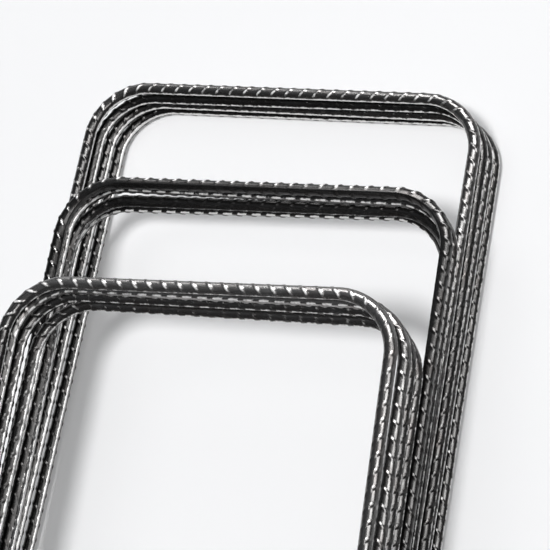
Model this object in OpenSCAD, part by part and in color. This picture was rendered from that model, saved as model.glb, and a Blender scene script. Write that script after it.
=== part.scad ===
// Bundle of rebar stirrups: three stacks of rectangular closed ties bent from ribbed bar, lying flat
// one on another. Millimetres. +X runs along the far sides to the right, +Y away from the viewer, +Z up.
// The floor is Z = 0 and the origin is on it, under the middle of the bundle.

/* [Bar] */
// Diameter of the bar over its ribs
bar_d = 8.6; // [6:0.1:13]
// Radius of the bends, to the middle of the bar
bend_r = 36; // [24:0.5:60]

/* [Stirrup] */
// Length of one stirrup, over the bar
stirrup_l = 420; // [250:1:650]
// Straight end of the hook that closes the stirrup
hook_tail = 60; // [40:1:120]
// Turn of that hook, in degrees
hook_turn = 135; // [95:1:150]
// Straight end that laps outside the near side
lap_tail = 80; // [40:1:120]
// Free space between bars that lie side by side or one on another
rest_gap = 0.3; // [0.1:0.1:0.6]

/* [Back stack] */
// Width of a stirrup, over the bar
back_w = 270; // [150:0.5:400]
// Extra width of each stirrup as it was bent, lowest first
back_extra_w = [-3, -1.5, 0, 0]; // [-8:0.1:8]
// Sideways slip of each stirrup, lowest first
back_slip_x = [9.2, 6.1, 2.9, 0]; // [-12:0.1:12]
// Slip of each stirrup away from the viewer, lowest first
back_slip_y = [-1.4, -2.2, -2.1, 0]; // [-9:0.1:9]
// Turn of each stirrup as seen from above, in degrees, lowest first
back_turn = [0, -0.3, 0.3, 0]; // [-3:0.1:3]

/* [Middle stack] */
// How far the stack lies to the right of the back one
middle_shift_x = 6.8; // [-20:0.1:20]
// How far the stack lies in front of the back one
middle_shift_y = 82.9; // [30:0.1:150]
// Width of a stirrup, over the bar
middle_w = 258.6; // [150:0.1:400]
// Extra width of each stirrup as it was bent, lowest first
middle_extra_w = [-1.5, -1.5, 1.5, 0]; // [-8:0.1:8]
// Sideways slip of each stirrup, lowest first
middle_slip_x = [-4.5, -0.6, 1.2, 0]; // [-12:0.1:12]
// Slip of each stirrup away from the viewer, lowest first
middle_slip_y = [-3.9, -4.3, 0, 0]; // [-9:0.1:9]
// Turn of each stirrup as seen from above, in degrees, lowest first
middle_turn = [1.7, 1.2, 0.3, 1.1]; // [-3:0.1:3]

/* [Front stack] */
// How far the stack lies to the right of the back one
front_shift_x = -1.3; // [-20:0.1:20]
// How far the stack lies in front of the back one
front_shift_y = 163.5; // [60:0.1:300]
// Width of a stirrup, over the bar
front_w = 248.5; // [150:0.1:400]
// Extra width of each stirrup as it was bent, lowest first
front_extra_w = [0.2, 4.2, 5.2, 0]; // [-8:0.1:8]
// Sideways slip of each stirrup, lowest first
front_slip_x = [10.2, 5.5, 3.9, 0]; // [-12:0.1:12]
// Slip of each stirrup away from the viewer, lowest first
front_slip_y = [-4.6, -1.9, -0.6, 0]; // [-9:0.1:9]
// Turn of each stirrup as seen from above, in degrees, lowest first
front_turn = [1.2, 1.6, 1.5, 2]; // [-3:0.1:3]

/* [Hidden] */
$fn = 96;
steel = [0.17, 0.165, 0.16];
quarter_turn = 90;
// Bars in touch lie one pitch apart, middle to middle
pitch = bar_d + rest_gap;
// Middle line of the bar: the far side is at Y = 0, and this is the outer line of the near side
near_y = bar_d - stirrup_l;
// The near side runs one pitch inside the lapped end, and its hook nests in the bend there
inner_near_y = near_y + pitch;
hook_r = bend_r - pitch;
// Middles of the bends
far_bend_y = -bend_r;
near_bend_y = near_y + bend_r;
inner_bend_y = inner_near_y + bend_r;
// Stirrups in a stack, and the level on which each stack starts
stack_count = len(back_slip_x);
middle_level = stack_count;
front_level = middle_level + stack_count;

// Place in plan of every stirrup and its width, as [x, y, turn, width]
back_places = [for (i = [0 : stack_count - 1])
    [back_slip_x[i], back_slip_y[i], back_turn[i], back_w + back_extra_w[i]]];
middle_places = [for (i = [0 : stack_count - 1])
    [middle_shift_x + middle_slip_x[i], middle_slip_y[i] - middle_shift_y, middle_turn[i],
        middle_w + middle_extra_w[i]]];
front_places = [for (i = [0 : stack_count - 1])
    [front_shift_x + front_slip_x[i], front_slip_y[i] - front_shift_y, front_turn[i],
        front_w + front_extra_w[i]]];
places = concat(back_places, middle_places, front_places);

// Middle line of a leg, and the middles of the bends beside it, for a stirrup of a given width
function leg_x(width) = (width - bar_d) / 2;
function bend_x(width) = leg_x(width) - bend_r;

// Middles of the outermost bends of a stirrup, with its lapped end as a bend too, and how far the whole
// bundle reaches in plan
function corners(width) = [[-bend_x(width), far_bend_y], [bend_x(width), far_bend_y],
    [bend_x(width), near_bend_y], [-bend_x(width), inner_bend_y], [bend_x(width) - lap_tail, near_bend_y]];
function turned_x(p, c) = p[0] + c[0] * cos(p[2]) - c[1] * sin(p[2]);
function turned_y(p, c) = p[1] + c[0] * sin(p[2]) + c[1] * cos(p[2]);
reach_x = [for (p = places) for (c = corners(p[3])) turned_x(p, c)];
reach_y = [for (p = places) for (c = corners(p[3])) turned_y(p, c)];
mid_x = (max(reach_x) + min(reach_x)) / 2;
mid_y = (max(reach_y) + min(reach_y)) / 2;

// A straight length of bar from a point in plan, in the direction of an angle
module bar(start, direction, length) {
    translate([start[0], start[1], 0])
        rotate([0, quarter_turn, direction])
            cylinder(h = length, d = bar_d);
}

// A bend of the bar about a point in plan
module bend(middle, first_angle, turn, radius) {
    translate([middle[0], middle[1], 0])
        rotate([0, 0, first_angle])
            rotate_extrude(angle = turn)
                translate([radius, 0])
                    circle(d = bar_d);
}

// A straight length of bar that goes on from the end of a bend
module bar_after_bend(middle, last_angle, radius, length) {
    translate([middle[0], middle[1], 0])
        rotate([0, 0, last_angle])
            translate([radius, 0, 0])
                rotate([-quarter_turn, 0, 0])
                    cylinder(h = length, d = bar_d);
}

// One stirrup, lying flat with the middle of its far side at the origin. It is a single bar with a
// hook inside the near right corner and its other end lapped outside the near side.
module stirrup(width) {
    x = bend_x(width);
    union() {
        bar([-x, 0], 0, 2 * x);
        bend([-x, far_bend_y], quarter_turn, quarter_turn, bend_r);
        bar([-leg_x(width), far_bend_y], -quarter_turn, far_bend_y - inner_bend_y);
        bend([-x, inner_bend_y], 2 * quarter_turn, quarter_turn, bend_r);
        bar([-x, inner_near_y], 0, 2 * x);
        bend([x, near_bend_y], -quarter_turn, hook_turn, hook_r);
        bar_after_bend([x, near_bend_y], hook_turn - quarter_turn, hook_r, hook_tail);
        bend([x, far_bend_y], 0, quarter_turn, bend_r);
        bar([leg_x(width), far_bend_y], -quarter_turn, far_bend_y - near_bend_y);
        bend([x, near_bend_y], -quarter_turn, quarter_turn, bend_r);
        bar([x, near_y], 2 * quarter_turn, lap_tail);
    }
}

// A stirrup on its level in the bundle
module placed_stirrup(place, level) {
    color(steel)
        translate([place[0] - mid_x, place[1] - mid_y, bar_d / 2 + level * pitch])
            rotate([0, 0, place[2]])
                stirrup(place[3]);
}

module back_stirrup_1() { placed_stirrup(back_places[0], 0); }
module back_stirrup_2() { placed_stirrup(back_places[1], 1); }
module back_stirrup_3() { placed_stirrup(back_places[2], 2); }
module back_stirrup_4() { placed_stirrup(back_places[3], 3); }
module middle_stirrup_1() { placed_stirrup(middle_places[0], middle_level); }
module middle_stirrup_2() { placed_stirrup(middle_places[1], middle_level + 1); }
module middle_stirrup_3() { placed_stirrup(middle_places[2], middle_level + 2); }
module middle_stirrup_4() { placed_stirrup(middle_places[3], middle_level + 3); }
module front_stirrup_1() { placed_stirrup(front_places[0], front_level); }
module front_stirrup_2() { placed_stirrup(front_places[1], front_level + 1); }
module front_stirrup_3() { placed_stirrup(front_places[2], front_level + 2); }
module front_stirrup_4() { placed_stirrup(front_places[3], front_level + 3); }

back_stirrup_1();
back_stirrup_2();
back_stirrup_3();
back_stirrup_4();
middle_stirrup_1();
middle_stirrup_2();
middle_stirrup_3();
middle_stirrup_4();
front_stirrup_1();
front_stirrup_2();
front_stirrup_3();
front_stirrup_4();
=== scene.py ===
import math

import bpy
import numpy as np
from mathutils import Matrix, Vector


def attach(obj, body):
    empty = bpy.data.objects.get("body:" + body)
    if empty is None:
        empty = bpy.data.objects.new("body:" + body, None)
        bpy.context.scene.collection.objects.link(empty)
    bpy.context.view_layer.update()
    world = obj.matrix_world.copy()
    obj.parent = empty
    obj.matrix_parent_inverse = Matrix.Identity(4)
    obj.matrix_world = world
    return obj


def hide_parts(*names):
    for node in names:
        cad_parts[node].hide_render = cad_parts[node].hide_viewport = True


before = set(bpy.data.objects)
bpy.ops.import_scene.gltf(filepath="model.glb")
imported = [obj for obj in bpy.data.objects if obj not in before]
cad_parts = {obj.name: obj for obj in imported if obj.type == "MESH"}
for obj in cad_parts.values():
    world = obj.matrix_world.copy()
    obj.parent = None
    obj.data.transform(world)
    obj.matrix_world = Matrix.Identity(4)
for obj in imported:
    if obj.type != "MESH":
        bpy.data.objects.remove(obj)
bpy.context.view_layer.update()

MM = 0.001
QUARTER_TURN = math.pi / 2

# Sizes of the stirrups, as in the CAD model
BAR_D = 8.6 * MM
BEND_R = 36 * MM
STIRRUP_L = 420 * MM
HOOK_TAIL = 60 * MM
HOOK_TURN = math.radians(135)
LAP_TAIL = 80 * MM
REST_GAP = 0.3 * MM
PITCH = BAR_D + REST_GAP
BAR_R = BAR_D / 2
NEAR_Y = BAR_D - STIRRUP_L
INNER_NEAR_Y = NEAR_Y + PITCH
HOOK_R = BEND_R - PITCH
NEAR_BEND_Y = NEAR_Y + BEND_R
INNER_BEND_Y = INNER_NEAR_Y + BEND_R

# Place in plan of each stack, its width, and the extra width, turn and slip of each of its stirrups, lowest
# first (mm, degrees)
STACKS = {
    "back": {
        "shift": (0, 0), "width": 270, "extra": (-3, -1.5, 0, 0), "turn": (0, -0.3, 0.3, 0),
        "slip_x": (9.2, 6.1, 2.9, 0), "slip_y": (-1.4, -2.2, -2.1, 0)},
    "middle": {
        "shift": (6.8, -82.9), "width": 258.6, "extra": (-1.5, -1.5, 1.5, 0), "turn": (1.7, 1.2, 0.3, 1.1),
        "slip_x": (-4.5, -0.6, 1.2, 0), "slip_y": (-3.9, -4.3, 0, 0)},
    "front": {
        "shift": (-1.3, -163.5), "width": 248.5, "extra": (0.2, 4.2, 5.2, 0), "turn": (1.2, 1.6, 1.5, 2),
        "slip_x": (10.2, 5.5, 3.9, 0), "slip_y": (-4.6, -1.9, -0.6, 0)},
}

# Lie of the bar in each stack's stirrups, lowest first: slant of its ribs (1 or -1); its roll in degrees on
# the left leg, the far side and the right leg; how bright its long ribs are worn and painted with glints
# (painted highlights); how bright its slanted ribs are worn and painted with glints, and between which angles
# on the far side (degrees from outwards, up being 90) those painted glints lie; how much duller the long ribs
# are where the slanted ones meet them, which breaks their painted highlights into dashes; and the shade of
# its mill scale, partly the scale's own tone and partly painted shade and sheen: darker on most lower
# stirrups, lighter on those that show broad highlights
BAR_LIE = {
    "back": (
        (1, (-22, -12, 14), 0.95, (0.35, 100, 190), 0.3, 0.06),
        (1, (-20, -8, 12), 0.95, (0.35, 100, 190), 0.3, 0.09),
        (-1, (-22, -12, 10), 0.7, (0.3, 100, 190), 0.3, 0.05),
        (1, (2, -8, 6), 0.8, (0.7, 92, 190), 0.2, 0.12)),
    "middle": (
        (1, (-20, -24, 16), 0.9, (0.5, 150, 200), 0.8, 0.06),
        (1, (-24, -10, 10), 0.3, (0.2, 100, 190), 0.6, 0.06),
        (1, (-22, -38, 14), 0.7, (0.2, 100, 190), 0.5, 0.09),
        (1, (-12, -70, -40), 0.1, (0.7, 20, 80), 0.6, 0.05)),
    "front": (
        (-1, (-20, -10, 12), 0.6, (0.5, 110, 190), 0.6, 0.07),
        (-1, (-20, -14, 10), 0.6, (0.45, 100, 190), 0.6, 0.07),
        (1, (-18, -38, 4), 0.65, (0.3, 100, 190), 0.7, 0.11),
        (-1, (4, -8, 2), 0.5, (0.7, 78, 142), 0.6, 0.12)),
}
# Painted light and shade on each side: that shade is multiplied by these on the left legs, the far sides and
# the right legs of each stack; the left legs are darkened as painted shade, the middle's right legs a little
# too, and the front's far sides lightened as a painted sheen
SIDE_PAINTED_LIGHT = {"back": (0.45, 1.0, 1.0), "middle": (0.40, 1.0, 0.8), "front": (0.35, 2.1, 1.0)}

# Relief of the bar: plain core, two long ribs and slanted ribs that thin out towards them
CORE_R = 3.60 * MM
LONG_RIB_H = 0.50 * MM
RIB_H = 0.60 * MM
RIB_PITCH = 9.6 * MM
RIB_SLANT = 0.78
# Rings in one rib pitch: place from the rib's crest (mm), share of the rib's height, and whether it is on
# the rib
RIB_RINGS = ((-2.1, 0.0, 0), (-1.6, 0.0, 1), (-0.5, 1.0, 1), (0.5, 1.0, 1),
             (1.6, 0.0, 1), (2.1, 0.0, 0), (3.7, 0.0, 0), (5.9, 0.0, 0))
# Points round half of the bar, in degrees from a long rib
HALF_TURN_DEG = (0, 7, 15, 28, 43, 59, 75, 90, 105, 121, 137, 152, 165, 173)
# Half width of a long rib, where a slanted rib starts beside it, and the powers that round their sections
LONG_RIB_DEG = 18
RIB_START_DEG = 9
LONG_RIB_POWER = 0.6
RIB_POWER = 0.85
# Ends of the bar: its rings turn square to it over this length, and a share of the length has no ribs
SQUARE_END = 9 * MM
RIBLESS_SHARE = 0.25
# No ring of the rib pattern comes nearer than this to an end, where the edge is broken to a share of the
# radius
CLEAR_END = 1.2 * MM
BROKEN_EDGE = 0.5 * MM
END_SHARE = 0.93
# Step of the ribs from one stirrup to the next, in rib pitches
RIB_STEP = 0.37

# Heading of the bar on its far side, to the right; counted on from the hook it is a whole turn clockwise
FAR_HEADING = -2 * math.pi
# How far the bar has turned from its far side on the left leg, the far side and the right leg, and with the
# near side before and after them
SIDES = (-QUARTER_TURN, 0, QUARTER_TURN)
ROUND_BAR = (-math.pi, *SIDES, math.pi)
# Share of the wear and painted glints there: of the long ribs, of the dull places on them and of the slanted
# ribs
EDGE_SHARES = (1.3, 1, 0.8)
DASH_SHARES = (0.3, 1, 1)
TICK_SHARES = (1, 0.7, 1, 0, 1)
# How the wear and painted glints of the slanted ribs fade out
TICK_FADE_DEG = 20
# Streaks in the mill scale: their scale along the bar, per metre, and how far they shift with the ribs' phase
GRAIN_ALONG = 40
GRAIN_SHIFT = 9


def bend_x(width):
    return (width - BAR_D) / 2 - BEND_R


def bar_path(width):
    """The middle line of one bar from its hook to its lapped end: where it starts and its heading there, and
    its pieces, each a straight length (None, length) or a clockwise bend (radius, turn)."""
    side = 2 * bend_x(width)
    hook_end = HOOK_TURN - QUARTER_TURN
    start = (bend_x(width) + HOOK_R * math.cos(hook_end) + HOOK_TAIL * math.cos(HOOK_TURN),
             NEAR_BEND_Y + HOOK_R * math.sin(hook_end) + HOOK_TAIL * math.sin(HOOK_TURN))
    corner = (BEND_R, QUARTER_TURN)
    pieces = [(None, HOOK_TAIL), (HOOK_R, HOOK_TURN), (None, side), corner, (None, -BEND_R - INNER_BEND_Y),
              corner, (None, side), corner, (None, -BEND_R - NEAR_BEND_Y), corner, (None, LAP_TAIL)]
    return start, hook_end - QUARTER_TURN, pieces


def piece_length(radius, extent):
    return extent if radius is None else radius * extent


def path_length(width):
    return sum(piece_length(*piece) for piece in bar_path(width)[2])


def path_points(run, width):
    """Points and headings of the middle line at the distances in run (an array)."""
    start, angle, pieces = bar_path(width)
    x, y, heading = (np.zeros_like(run) for _ in range(3))
    at = np.array(start)
    done = 0.0
    for radius, extent in pieces:
        # the first piece also takes what lies before the start, and the last what lies past the end
        inside = (run >= done) if done else np.ones_like(run, dtype=bool)
        t = run[inside] - done
        if radius is None:
            along = np.array((math.cos(angle), math.sin(angle)))
            x[inside] = at[0] + t * along[0]
            y[inside] = at[1] + t * along[1]
            heading[inside] = angle
            at = at + extent * along
        else:
            middle = at + radius * np.array((math.sin(angle), -math.cos(angle)))
            turned = angle - t / radius
            x[inside] = middle[0] - radius * np.sin(turned)
            y[inside] = middle[1] + radius * np.cos(turned)
            heading[inside] = turned
            angle -= extent
            at = middle + radius * np.array((-math.sin(angle), math.cos(angle)))
        done += piece_length(radius, extent)
    return x, y, heading


def bar_section():
    """Points round the bar: their angles, their shares of the heights of the long and the slanted ribs, and
    how far the slant leads them."""
    half = np.radians(np.array(HALF_TURN_DEG, dtype=float))
    phi = np.concatenate((half, half + math.pi))
    in_half = np.degrees(np.concatenate((half, half)))
    from_long = np.minimum(in_half, 180 - in_half)
    long_rib = np.clip(1 - from_long / LONG_RIB_DEG, 0, 1) ** LONG_RIB_POWER
    across = np.clip((in_half - RIB_START_DEG) / (180 - 2 * RIB_START_DEG), 0, 1)
    crescent = np.sin(math.pi * across) ** RIB_POWER
    lead = np.where(phi <= math.pi, QUARTER_TURN - phi, phi - 3 * QUARTER_TURN)
    return phi, long_rib, crescent, lead


def rib_rings(total, phase):
    """Rings along a bar: their places, their shares of the rib's height, and whether they are on a rib."""
    rings = [(0.0, 0.0, 0), (BROKEN_EDGE, 0.0, 0)]
    for i in range(-1, int(total / RIB_PITCH) + 2):
        for offset, height, on_rib in RIB_RINGS:
            s = (i + phase) * RIB_PITCH + offset * MM
            if CLEAR_END < s < total - CLEAR_END:
                rings.append((s, height, on_rib))
    rings += [(total - BROKEN_EDGE, 0.0, 0), (total, 0.0, 0)]
    return (np.array(column)[:, None] for column in zip(*rings))


def swept_mesh(name, verts, rings, around):
    """A tube through rings of points, closed by a middle point at each end; those two points come last."""
    ring = np.arange(around)
    after = (ring + 1) % around
    starts = np.arange(rings - 1)[:, None] * around
    a, b = (starts + ring).ravel(), (starts + after).ravel()
    quads = np.stack((a, a + around, b + around, b), axis=1)
    first, last = len(verts), len(verts) + 1
    end = (rings - 1) * around
    caps = np.concatenate((np.stack((np.full(around, first), ring, after), axis=1),
                           np.stack((np.full(around, last), end + after, end + ring), axis=1)))
    verts = np.concatenate((verts, [verts[:around].mean(axis=0), verts[-around:].mean(axis=0)]))
    mesh = bpy.data.meshes.new(name)
    mesh.from_pydata(verts.tolist(), [], quads.tolist() + caps.tolist())
    mesh.polygons.foreach_set("use_smooth", np.arange(len(quads) + len(caps)) < len(quads))
    return mesh


def point_values(mesh, name, values, end_value):
    """Give every point of a swept mesh a value, and its two middle points the end value."""
    values = np.append(values.ravel(), (end_value, end_value))
    mesh.attributes.new(name, "FLOAT", "POINT").data.foreach_set("value", values.astype(np.float32))


def ribbed_bar(name, place, level, lie, painted_side_light, phase):
    """One stirrup as a swept, ribbed bar in metres, in the CAD frame."""
    place_x, place_y, turn, width = place
    slant, rolls, edge_wear_and_glint, (tick_wear_and_glint, tick_from, tick_to), dash, _ = lie
    total = path_length(width)
    phi, long_rib, crescent, lead = bar_section()
    s, height, on_rib = rib_rings(total, phase)

    # the rings follow the slant of the ribs, and stand square to the bar at its ends
    square = np.clip(np.minimum(s, total - s) / SQUARE_END, 0, 1)
    run = s + square * slant * RIB_SLANT * CORE_R * lead
    rib = height * (square > RIBLESS_SHARE) * crescent
    radius = CORE_R + np.maximum(RIB_H * rib, LONG_RIB_H * long_rib)
    radius[[0, -1]] *= END_SHARE

    # the bar twists a little in the far bends
    x, y, heading = (a.reshape(run.shape) for a in path_points(run.ravel(), width))
    turned = FAR_HEADING - heading
    roll = np.radians(np.interp(turned, SIDES, rolls))
    out = radius * np.cos(phi + roll)
    up = radius * np.sin(phi + roll)
    px = x - out * np.sin(heading)
    py = y + out * np.cos(heading)
    c, w = math.cos(turn), math.sin(turn)
    verts = np.stack((place_x + c * px - w * py, place_y + w * px + c * py, BAR_R + level * PITCH + up),
                     axis=-1)
    mesh = swept_mesh(name, verts.reshape(-1, 3), *run.shape)

    # the slanted ribs are worn and painted with glints (painted highlights) on the far sides, and on the
    # outside of the left legs, near sides and hooks
    outside_from, outside_to = 180 - tick_to, 180 - tick_from
    low = np.interp(turned, ROUND_BAR, (outside_from, outside_from, tick_from, tick_from, outside_from))
    high = np.interp(turned, ROUND_BAR, (outside_to, outside_to, tick_to, tick_to, outside_to))
    angle = (np.degrees(phi + roll) + 90) % 360 - 90
    between = np.clip(np.minimum(angle - low, high - angle) / TICK_FADE_DEG + 0.5, 0, 1)
    tick_glints_and_wear = tick_wear_and_glint * np.interp(turned, ROUND_BAR, TICK_SHARES) * between * rib
    # the long ribs are worn and painted bright as highlights, in dashes where the slanted ribs meet them
    dull = dash * np.interp(turned, SIDES, DASH_SHARES) * on_rib
    edge_glints_and_wear = edge_wear_and_glint * np.interp(turned, SIDES, EDGE_SHARES) * long_rib * (1 - dull)
    # wear and painted glints go to the material as one attribute
    point_values(mesh, "wear_and_glint", np.maximum(tick_glints_and_wear, edge_glints_and_wear), 0)
    # painted light and shade for each side of the bar
    point_values(mesh, "side_light_paint", np.interp(turned, SIDES, painted_side_light), 1)

    along = run * GRAIN_ALONG + phase * GRAIN_SHIFT + level
    grain = np.stack(np.broadcast_arrays(np.cos(phi), np.sin(phi), along), axis=-1).reshape(-1, 3)
    grain = np.concatenate((grain, np.zeros((2, 3)))).astype(np.float32)
    mesh.attributes.new("grain", "FLOAT_VECTOR", "POINT").data.foreach_set("vector", grain.ravel())
    mesh.validate()
    mesh.update()
    return bpy.data.objects.new(name, mesh)


def node(tree, kind, **settings):
    """A new node with its properties set, and its inputs by name with _ for a space."""
    made = tree.nodes.new(kind)
    for key, value in settings.items():
        if hasattr(made, key):
            setattr(made, key, value)
        else:
            made.inputs[key.replace("_", " ")].default_value = value
    return made


def feed(tree, socket, source):
    """Link an output to an input, or set the input to a value."""
    if isinstance(source, bpy.types.NodeSocket):
        tree.links.new(source, socket)
    else:
        socket.default_value = source


def ramp(tree, source, stops):
    """A colour ramp with stops (position, colour or grey level)."""
    made = tree.nodes.new("ShaderNodeValToRGB")
    while len(made.color_ramp.elements) < len(stops):
        made.color_ramp.elements.new(0.5)
    for element, (position, color) in zip(made.color_ramp.elements, stops):
        element.position = position
        element.color = (color, color, color, 1) if isinstance(color, float) else (*color, 1)
    tree.links.new(source, made.inputs["Fac"])
    return made.outputs["Color"]


def noise(tree, vector, scale, detail, roughness):
    made = node(tree, "ShaderNodeTexNoise", Scale=scale, Detail=detail, Roughness=roughness)
    tree.links.new(vector, made.inputs["Vector"])
    return made.outputs["Fac"]


def mix(tree, kind, factor, a, b, **settings):
    made = node(tree, "ShaderNodeMix", data_type=kind, **settings)
    for key, source in (("Factor", factor), ("A", a), ("B", b)):
        feed(tree, made.inputs[key], source)
    return made.outputs["Result"]


def calc(tree, operation, *sources):
    made = node(tree, "ShaderNodeMath", operation=operation)
    for socket, source in zip(made.inputs, sources):
        feed(tree, socket, source)
    return made.outputs[0]


def map_range(tree, source, **limits):
    made = node(tree, "ShaderNodeMapRange", **limits)
    tree.links.new(source, made.inputs["Value"])
    return made.outputs["Result"]


def bump(tree, height, strength, distance, normal=None):
    made = node(tree, "ShaderNodeBump", Strength=strength, Distance=distance)
    tree.links.new(height, made.inputs["Height"])
    if normal is not None:
        tree.links.new(normal, made.inputs["Normal"])
    return made.outputs["Normal"]


# Mill scale: its colours over its streaks and in its brown patches, as multiples of its shade, how brown the
# patches are, its roughness over the streaks, and how metallic it is
SCALE_STOPS = ((0.30, (0.60, 0.58, 0.57)), (0.55, (1.0, 0.98, 0.97)), (0.75, (1.73, 1.70, 1.67)))
BROWN_SCALE = (0.85, 0.76, 0.73)
BROWN_STOPS = ((0.50, 0.0), (0.72, 0.7))
ROUGHNESS_STOPS = ((0.25, 0.33), (0.75, 0.20))
SCALE_METALLIC = 0.9
# Worn steel, which also stands in for glints as painted highlights: its colour, its roughness and how
# metallic it is
WORN_STEEL_AND_GLINT = (0.90, 0.89, 0.88, 1)
WORN_AND_GLINT_ROUGHNESS = 0.42
WORN_AND_GLINT_METALLIC = 0.3
# How much the chips add to the wear and painted glints, and the sums of both at which worn steel and
# painted highlight begin and are full
CHIPPING = 0.9
WORN_AND_GLINT_FROM = 0.75
WORN_AND_GLINT_FULL = 1.05


def steel_material(name, scale_tone_and_shade):
    """Mill scale of a given shade (partly its own tone, partly painted shade) with brown patches, burnished
    streaks, painted light and shade on each side, and bright ribs that are partly worn and partly painted
    glints.
    """
    material = bpy.data.materials.new(name)
    material.use_nodes = True
    tree = material.node_tree
    shader = tree.nodes["Principled BSDF"]
    grain, wear_and_glint, side_light_paint = (node(tree, "ShaderNodeAttribute", attribute_name=key)
                         for key in ("grain", "wear_and_glint", "side_light_paint"))
    where = node(tree, "ShaderNodeTexCoord").outputs["Object"]

    streak = noise(tree, grain.outputs["Vector"], scale=2.2, detail=6.0, roughness=0.62)
    patch = noise(tree, where, scale=55.0, detail=4.0, roughness=0.55)
    chips = noise(tree, where, scale=420.0, detail=3.0, roughness=0.6)
    pits = noise(tree, where, scale=1600.0, detail=3.0, roughness=0.6)

    scale_color = ramp(tree, streak, [(stop, tuple(v * scale_tone_and_shade for v in color)) for stop, color in SCALE_STOPS])
    brown = ramp(tree, patch, BROWN_STOPS)
    tint = mix(tree, "RGBA", brown, scale_color, (*(v * scale_tone_and_shade for v in BROWN_SCALE), 1))
    # painted light and shade: each side of the bar is darkened or lightened by its side attribute
    side_lit_color = mix(tree, "RGBA", 1.0, tint, side_light_paint.outputs["Color"], blend_type="MULTIPLY")
    ragged = calc(tree, "MULTIPLY_ADD", chips, CHIPPING, wear_and_glint.outputs["Fac"])
    wear_and_glint_share = map_range(tree, ragged, From_Min=WORN_AND_GLINT_FROM, From_Max=WORN_AND_GLINT_FULL)
    # the worn ribs and the painted glints show as bright steel
    feed(tree, shader.inputs["Base Color"], mix(tree, "RGBA", wear_and_glint_share, side_lit_color, WORN_STEEL_AND_GLINT))

    rough = ramp(tree, streak, ROUGHNESS_STOPS)
    feed(tree, shader.inputs["Roughness"], mix(tree, "FLOAT", wear_and_glint_share, rough, WORN_AND_GLINT_ROUGHNESS))
    feed(tree, shader.inputs["Metallic"], map_range(tree, wear_and_glint_share, To_Min=SCALE_METALLIC, To_Max=WORN_AND_GLINT_METALLIC))
    shader.inputs["Specular IOR Level"].default_value = 0.5

    fine = bump(tree, pits, strength=0.2, distance=0.08 * MM)
    feed(tree, shader.inputs["Normal"], bump(tree, streak, strength=0.3, distance=0.3 * MM, normal=fine))
    return material


def bundle_middle(places):
    """Middle of the whole bundle in plan, as in the CAD model."""
    xs, ys = [], []
    for x, y, turn, width in places:
        b = bend_x(width)
        for u, v in ((-b, -BEND_R), (b, -BEND_R), (b, NEAR_BEND_Y), (-b, INNER_BEND_Y),
                     (b - LAP_TAIL, NEAR_BEND_Y)):
            xs.append(x + u * math.cos(turn) - v * math.sin(turn))
            ys.append(y + u * math.sin(turn) + v * math.cos(turn))
    return (max(xs) + min(xs)) / 2, (max(ys) + min(ys)) / 2


# The stirrups, lowest first
stirrups = []
for stack, values in STACKS.items():
    for i in range(len(values["turn"])):
        stirrups.append((stack, i, ((values["shift"][0] + values["slip_x"][i]) * MM,
                                    (values["shift"][1] + values["slip_y"][i]) * MM,
                                    math.radians(values["turn"][i]),
                                    (values["width"] + values["extra"][i]) * MM)))
mid_x, mid_y = bundle_middle([place for _, _, place in stirrups])
steels = {}
for level, (stack, i, (x, y, turn, width)) in enumerate(stirrups):
    cad_name = "%s_stirrup_%d" % (stack, i + 1)
    lie = BAR_LIE[stack][i]
    piece = ribbed_bar("ribbed_" + cad_name, (x - mid_x, y - mid_y, turn, width), level, lie,
                       SIDE_PAINTED_LIGHT[stack], (RIB_STEP * level) % 1)
    bpy.context.scene.collection.objects.link(piece)
    # each stirrup's shade is partly its scale's own tone and partly painted shade and sheen, with one steel
    # material for each shade
    scale_tone_and_shade = lie[-1]
    if scale_tone_and_shade not in steels:
        steels[scale_tone_and_shade] = steel_material("rolled_bar_steel_%03d" % round(1000 * scale_tone_and_shade), scale_tone_and_shade)
    piece.data.materials.append(steels[scale_tone_and_shade])
    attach(piece, "root")
    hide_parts(cad_name)

# Floor: a quarter of what is seen of it is plain white, and the rest keeps the shadows
FLOOR_HALF = 4.0
WHITE_SHARE = 0.25
floor_mesh = bpy.data.meshes.new("floor")
floor_mesh.from_pydata([(-FLOOR_HALF, -FLOOR_HALF, 0), (FLOOR_HALF, -FLOOR_HALF, 0),
                        (FLOOR_HALF, FLOOR_HALF, 0), (-FLOOR_HALF, FLOOR_HALF, 0)], [], [(0, 1, 2, 3)])
floor = bpy.data.objects.new("floor", floor_mesh)
bpy.context.scene.collection.objects.link(floor)
floor_material = bpy.data.materials.new("pale_floor")
floor_material.use_nodes = True
floor_tree = floor_material.node_tree
floor_shader = floor_tree.nodes["Principled BSDF"]
floor_shader.inputs["Base Color"].default_value = (0.94, 0.94, 0.95, 1)
floor_shader.inputs["Roughness"].default_value = 0.7
floor_shader.inputs["Specular IOR Level"].default_value = 0.2
white = node(floor_tree, "ShaderNodeEmission", Strength=1.0)
ray = node(floor_tree, "ShaderNodeLightPath").outputs
seen = ray["Is Camera Ray"]
for kind in ("Is Glossy Ray", "Is Transmission Ray"):
    seen = calc(floor_tree, "MAXIMUM", seen, ray[kind])
blend = node(floor_tree, "ShaderNodeMixShader")
feed(floor_tree, blend.inputs["Fac"], calc(floor_tree, "MULTIPLY", seen, WHITE_SHARE))
feed(floor_tree, blend.inputs[1], floor_shader.outputs["BSDF"])
feed(floor_tree, blend.inputs[2], white.outputs["Emission"])
feed(floor_tree, floor_tree.nodes["Material Output"].inputs["Surface"], blend.outputs["Shader"])
floor_mesh.materials.append(floor_material)

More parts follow.
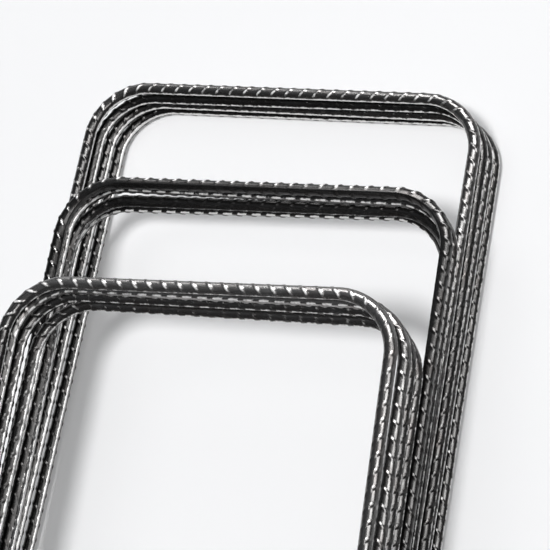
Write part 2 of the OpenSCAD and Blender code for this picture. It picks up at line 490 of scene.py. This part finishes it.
# Soft light from all round, stronger from behind on the left
SKY_COLOR = (0.90, 0.94, 1.0, 1)
SKY_BRIGHT_SIDE = (-0.45, 0.60, 0.66)
SKY_DIM, SKY_BRIGHT = 0.05, 0.24
world = bpy.data.worlds.new("studio")
bpy.context.scene.world = world
world.use_nodes = True
sky_tree = world.node_tree
sky = sky_tree.nodes["Background"]
sky.inputs["Color"].default_value = SKY_COLOR
toward = node(sky_tree, "ShaderNodeVectorMath", operation="DOT_PRODUCT")
feed(sky_tree, toward.inputs[0], node(sky_tree, "ShaderNodeTexCoord").outputs["Generated"])
feed(sky_tree, toward.inputs[1], SKY_BRIGHT_SIDE)
feed(sky_tree, sky.inputs["Strength"],
     map_range(sky_tree, toward.outputs["Value"], To_Min=SKY_DIM, To_Max=SKY_BRIGHT))

# Two broad suns light the floor and the bundle evenly, and five windows round it show as glints on the steel
AIM = Vector((0.0, 0.12, 0.04))
SUN_DISTANCE = 1.6
WINDOW_DISTANCE = 1.2


def lamp(name, data, direction, distance):
    """A lamp that shines from a direction on the bundle."""
    made = bpy.data.objects.new(name, data)
    made.location = AIM + distance * Vector(direction).normalized()
    made.rotation_euler = Vector(direction).to_track_quat("Z", "Y").to_euler()
    bpy.context.scene.collection.objects.link(made)
    return made


def sun(name, direction, strength, spread_deg):
    data = bpy.data.lights.new(name, "SUN")
    data.energy = strength
    data.angle = math.radians(spread_deg)
    lamp(name, data, direction, SUN_DISTANCE).visible_glossy = False


def window(name, direction, size, energy):
    data = bpy.data.lights.new(name, "AREA")
    data.shape = "RECTANGLE"
    data.size, data.size_y = size
    data.energy = energy
    lamp(name, data, direction, WINDOW_DISTANCE).visible_diffuse = False


sun("key", (-0.08, -0.28, 0.95), strength=2.45, spread_deg=12)
sun("left_fill", (-0.42, 0.02, 0.90), strength=0.30, spread_deg=25)
window("right_window", (0.67, 0.17, 0.72), size=(0.40, 0.70), energy=8)
window("bend_window", (0.32, 0.60, 0.72), size=(0.45, 0.50), energy=11)
window("back_window", (0.05, 0.64, 0.77), size=(0.5, 0.5), energy=15)
window("front_window", (0.45, -0.15, 0.88), size=(0.35, 0.35), energy=5)
window("back_strip", (-0.33, 0.85, 0.40), size=(0.5, 0.2), energy=2)

# Camera: long lens, rolled, as the photo was taken and turned; its target is measured from the back stack's
# place
AZIMUTH, ELEVATION, ROLL = (math.radians(v) for v in (44.98, 62.478, 37.407))
TARGET_X, TARGET_Y, CAMERA_DISTANCE = 7.325 * MM, -115.994 * MM, 1153.191 * MM
FOCAL_PX, PHOTO_PX, SENSOR_MM = 1800.0, 550.0, 36.0
back = Vector((math.sin(AZIMUTH) * math.cos(ELEVATION), -math.cos(AZIMUTH) * math.cos(ELEVATION),
               math.sin(ELEVATION)))
right = Vector((math.cos(AZIMUTH), math.sin(AZIMUTH), 0))
up = back.cross(right)
rolled_right = math.cos(ROLL) * right - math.sin(ROLL) * up
rolled_up = math.sin(ROLL) * right + math.cos(ROLL) * up
basis = Matrix((rolled_right, rolled_up, back)).transposed()
target = Vector((TARGET_X - mid_x, TARGET_Y - mid_y, BAR_R))
camera_data = bpy.data.cameras.new("camera")
camera_data.sensor_width = SENSOR_MM
camera_data.lens = SENSOR_MM * FOCAL_PX / PHOTO_PX
camera = bpy.data.objects.new("camera", camera_data)
camera.matrix_world = Matrix.Translation(target + back * CAMERA_DISTANCE) @ basis.to_4x4()
bpy.context.scene.collection.objects.link(camera)
bpy.context.scene.camera = camera
bpy.context.scene.view_settings.view_transform = "Standard"
